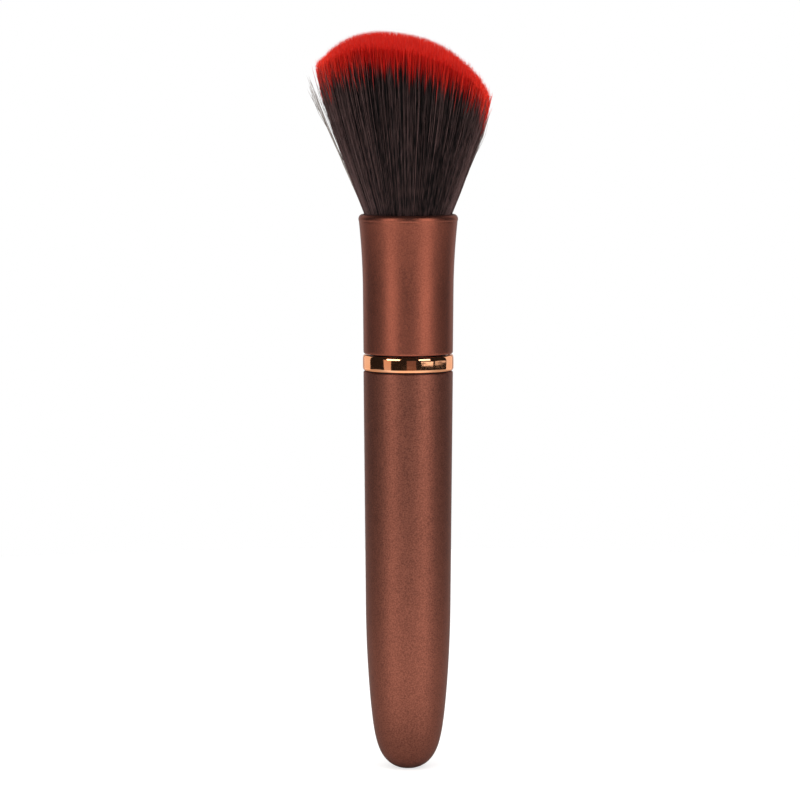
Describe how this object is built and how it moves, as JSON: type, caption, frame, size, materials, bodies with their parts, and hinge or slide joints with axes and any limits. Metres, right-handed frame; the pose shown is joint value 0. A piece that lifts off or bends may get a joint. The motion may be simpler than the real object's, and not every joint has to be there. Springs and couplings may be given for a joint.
{
  "type": "electric makeup brush",
  "caption": "Upright vibrating makeup brush: angled flared tuft with red tips, flared satin sleeve on a pull-off head, polished ring, round-tailed rechargeable handle.",
  "frame": {"origin": "middle of the polished ring, on the brush's axis", "axes": "+Z from the tail to the fibre tips; -Y is the side that the picture shows, +Y the side with the button; +X is the tuft's lower shoulder"},
  "size_m": [0.0451, 0.0362, 0.1961],
  "materials": {
    "fibre": "soft synthetic fibre, dark brown with red dipped tips",
    "satin_sleeve": "satin anodised aluminium, copper brown",
    "rose_gold": "polished rose gold plating",
    "satin_handle": "moulded plastic with satin metallic copper-brown paint",
    "black_plastic": "moulded, fine matte",
    "chassis_plastic": "moulded, matte",
    "ivory_plastic": "moulded, semi matte",
    "resin": "poured epoxy, clear amber",
    "cup_metal": "drawn, bare",
    "seal_rubber": "moulded, matte",
    "button_silicone": "moulded silicone, fine matte",
    "seal_silicone": "moulded silicone, translucent grey",
    "boot_rubber": "moulded, matte",
    "zinc_steel": "zinc plated, drawn",
    "polished_steel": "ground and polished",
    "lamination_steel": "stacked sheet",
    "sintered_magnet": "sintered, dark grey",
    "bearing_bronze": "sintered, oiled",
    "copper": "bright",
    "sintered_weight": "sintered tungsten alloy, dull",
    "nickel": "rolled nickel strip",
    "cell_wrap": "shrink-wrapped",
    "foam": "cut foam",
    "board_laminate": "green solder mask on glass laminate",
    "chip_epoxy": "moulded epoxy",
    "ceramic_chip": "fired ceramic",
    "lamp_epoxy": "cast epoxy",
    "clear_guide": "clear moulded plastic",
    "gold_contact": "gold flashed",
    "red_wire": "extruded insulation",
    "black_wire": "extruded insulation"
  },
  "bodies": {
    "handle": {"neck_o_ring": "seal_rubber", "metal_ring": "rose_gold", "neck_collar": "black_plastic", "collar_gasket": "seal_rubber", "handle_shell": "satin_handle", "motor_can": "zinc_steel", "motor_end_cap": "ivory_plastic", "motor_boot": "boot_rubber", "motor_magnets": "sintered_magnet", "motor_bushes": "bearing_bronze", "motor_brushes": "copper", "chassis": "chassis_plastic", "chassis_screws": "zinc_steel", "battery_cell": "cell_wrap", "battery_tabs": "nickel", "battery_pads": "foam", "circuit_board": "board_laminate", "control_chip": "chip_epoxy", "charge_chip": "chip_epoxy", "small_components": "ceramic_chip", "tactile_switch": "chassis_plastic", "button_bezel": "rose_gold", "status_lamp": "lamp_epoxy", "light_guide": "clear_guide", "charge_jack": "black_plastic", "jack_contacts": "gold_contact", "jack_seal": "seal_silicone", "motor_leads": "red_wire", "battery_lead": "red_wire", "jack_leads": "black_wire"},
    "head": {"bristle_tuft": "fibre", "root_resin": "resin", "tuft_cup": "cup_metal", "head_sleeve": "satin_sleeve", "head_socket": "black_plastic"},
    "rotor": {"motor_shaft": "polished_steel", "rotor_core": "lamination_steel", "rotor_windings": "copper", "commutator": "copper", "eccentric_weight": "sintered_weight"},
    "button": {"power_button": "button_silicone", "switch_plunger": "ivory_plastic"}
  },
  "joints": [
    {"name": "head_pull", "type": "slide", "parent": "handle", "child": "head", "axis": [0, 0, 1], "range_m": [0, 0.02]},
    {"name": "button_press", "type": "slide", "parent": "handle", "child": "button", "axis": [0, -1, 0], "range_m": [0, 0.0005], "stiffness_N_per_m": 1200},
    {"name": "motor_spin", "type": "hinge", "parent": "handle", "child": "rotor", "pos_m": [0, 0, 0], "axis": [0, 0, 1], "continuous": true}
  ]
}
